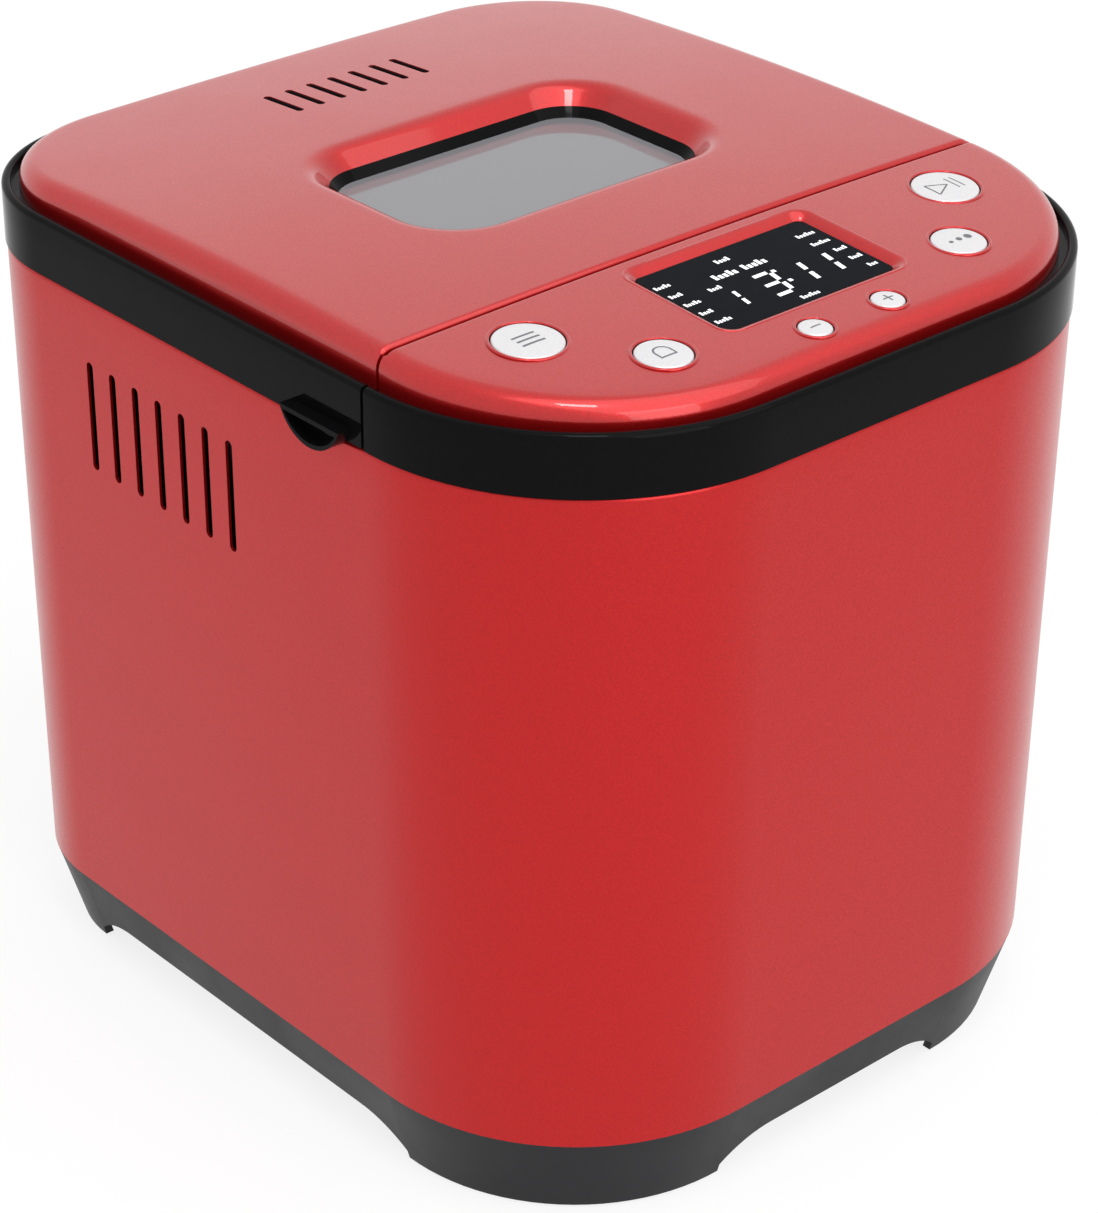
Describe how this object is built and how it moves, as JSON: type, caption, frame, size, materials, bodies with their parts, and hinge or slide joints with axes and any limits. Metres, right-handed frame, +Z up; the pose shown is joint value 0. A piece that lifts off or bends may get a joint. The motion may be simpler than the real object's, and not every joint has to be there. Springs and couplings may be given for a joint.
{
  "type": "bread machine",
  "caption": "Upright countertop bread machine with a hinged lid, sloping control panel, heated chamber, lift-out pan and belt-driven kneading paddle.",
  "frame": {"origin": "on the floor under the middle of the body", "axes": "+Z up, -Y towards the control panel, +Y towards the lid hinge, +X to the right seen from the front"},
  "size_m": [0.2516, 0.2873, 0.2753],
  "materials": {
    "red_metallic": "red metallic gloss enamel",
    "red_plastic": "red metallic painted plastic",
    "black_gloss": "gloss black moulding",
    "black_satin": "satin black moulding",
    "rubber": "matt rubber",
    "silver_plastic": "pearl silver painted plastic",
    "display_glass": "gloss smoked display window",
    "window_glass": "clear tempered glass",
    "aluminium": "plain sheet",
    "steel": "zinc plated steel",
    "nonstick": "dark non-stick coating",
    "board_green": "solder mask",
    "component_black": "moulded component",
    "heater_steel": "oxidised heater tube",
    "brass": "sintered bronze",
    "silicone": "grey silicone"
  },
  "bodies": {
    "body": {"base_tray": "black_satin", "rubber_feet": "rubber", "outer_shell": "red_metallic", "cord_grommet": "rubber", "deck_frame": "black_satin", "panel_housing": "black_gloss", "control_fascia": "red_plastic", "display_lens": "display_glass", "display_module": "component_black", "control_board": "board_green", "tact_switches": "component_black", "hinge_pins": "steel", "oven_chamber": "steel", "heater": "heater_steel", "heater_clips": "steel", "temperature_sensor": "steel", "chamber_standoffs": "steel", "pan_clips": "steel", "drive_frame": "steel", "frame_screws": "steel", "drive_bearing": "brass", "drive_belt": "rubber", "motor_stator": "steel", "motor_mounts": "rubber", "capacitor": "component_black", "power_board": "board_green"},
    "lid": {"lid_cover": "red_plastic", "lid_band": "black_gloss", "window_bezel": "black_gloss", "lid_window": "window_glass", "window_gasket": "silicone", "lid_liner": "aluminium", "lid_screws": "steel"},
    "drive": {"drive_shaft": "steel", "drive_pulley": "component_black", "pulley_nut": "steel", "drive_coupling": "aluminium"},
    "motor_rotor": {"motor_shaft": "steel", "motor_pulley": "aluminium"},
    "pan": {"bread_pan": "nonstick", "pan_ring": "aluminium"},
    "handle": {"pan_handle": "steel"},
    "paddle": {"pan_coupling": "aluminium", "paddle_shaft": "steel", "kneading_paddle": "nonstick"},
    "menu_button": {"menu_button": "silver_plastic"},
    "start_button": {"start_button": "silver_plastic"},
    "loaf_button": {"loaf_button": "silver_plastic"},
    "color_button": {"color_button": "silver_plastic"},
    "minus_button": {"minus_button": "silver_plastic"},
    "plus_button": {"plus_button": "silver_plastic"}
  },
  "joints": [
    {"name": "lid_hinge", "type": "hinge", "parent": "body", "child": "lid", "pos_m": [0, 0.137, 0.2515], "axis": [-1, 0, 0], "range_deg": [0, 85]},
    {"name": "drive_spin", "type": "hinge", "parent": "body", "child": "drive", "pos_m": [0, 0.036, 0.033], "axis": [0, 0, 1], "continuous": true},
    {"name": "motor_spin", "type": "hinge", "parent": "body", "child": "motor_rotor", "pos_m": [0, -0.096, 0.033], "axis": [0, 0, 1], "continuous": true},
    {"name": "pan_lift", "type": "slide", "parent": "body", "child": "pan", "axis": [0, 0, 1], "range_m": [0, 0.01]},
    {"name": "handle_swing", "type": "hinge", "parent": "pan", "child": "handle", "pos_m": [0, 0.036, 0.205], "axis": [-1, 0, 0], "range_deg": [0, 14]},
    {"name": "paddle_spin", "type": "hinge", "parent": "pan", "child": "paddle", "pos_m": [0, 0.036, 0.09], "axis": [0, 0, 1], "continuous": true},
    {"name": "menu_press", "type": "slide", "parent": "body", "child": "menu_button", "axis": [0, 0.0564, -0.9984], "range_m": [0, 0.001], "stiffness_N_per_m": 400},
    {"name": "start_press", "type": "slide", "parent": "body", "child": "start_button", "axis": [0, 0.0564, -0.9984], "range_m": [0, 0.001], "stiffness_N_per_m": 400},
    {"name": "loaf_press", "type": "slide", "parent": "body", "child": "loaf_button", "axis": [0, 0.0564, -0.9984], "range_m": [0, 0.001], "stiffness_N_per_m": 400},
    {"name": "color_press", "type": "slide", "parent": "body", "child": "color_button", "axis": [0, 0.0564, -0.9984], "range_m": [0, 0.001], "stiffness_N_per_m": 400},
    {"name": "minus_press", "type": "slide", "parent": "body", "child": "minus_button", "axis": [0, 0.0564, -0.9984], "range_m": [0, 0.001], "stiffness_N_per_m": 400},
    {"name": "plus_press", "type": "slide", "parent": "body", "child": "plus_button", "axis": [0, 0.0564, -0.9984], "range_m": [0, 0.001], "stiffness_N_per_m": 400}
  ],
  "couplings": [
    {"joint": "motor_spin", "follows": "drive_spin", "ratio": 4},
    {"joint": "paddle_spin", "follows": "drive_spin", "ratio": 1}
  ]
}
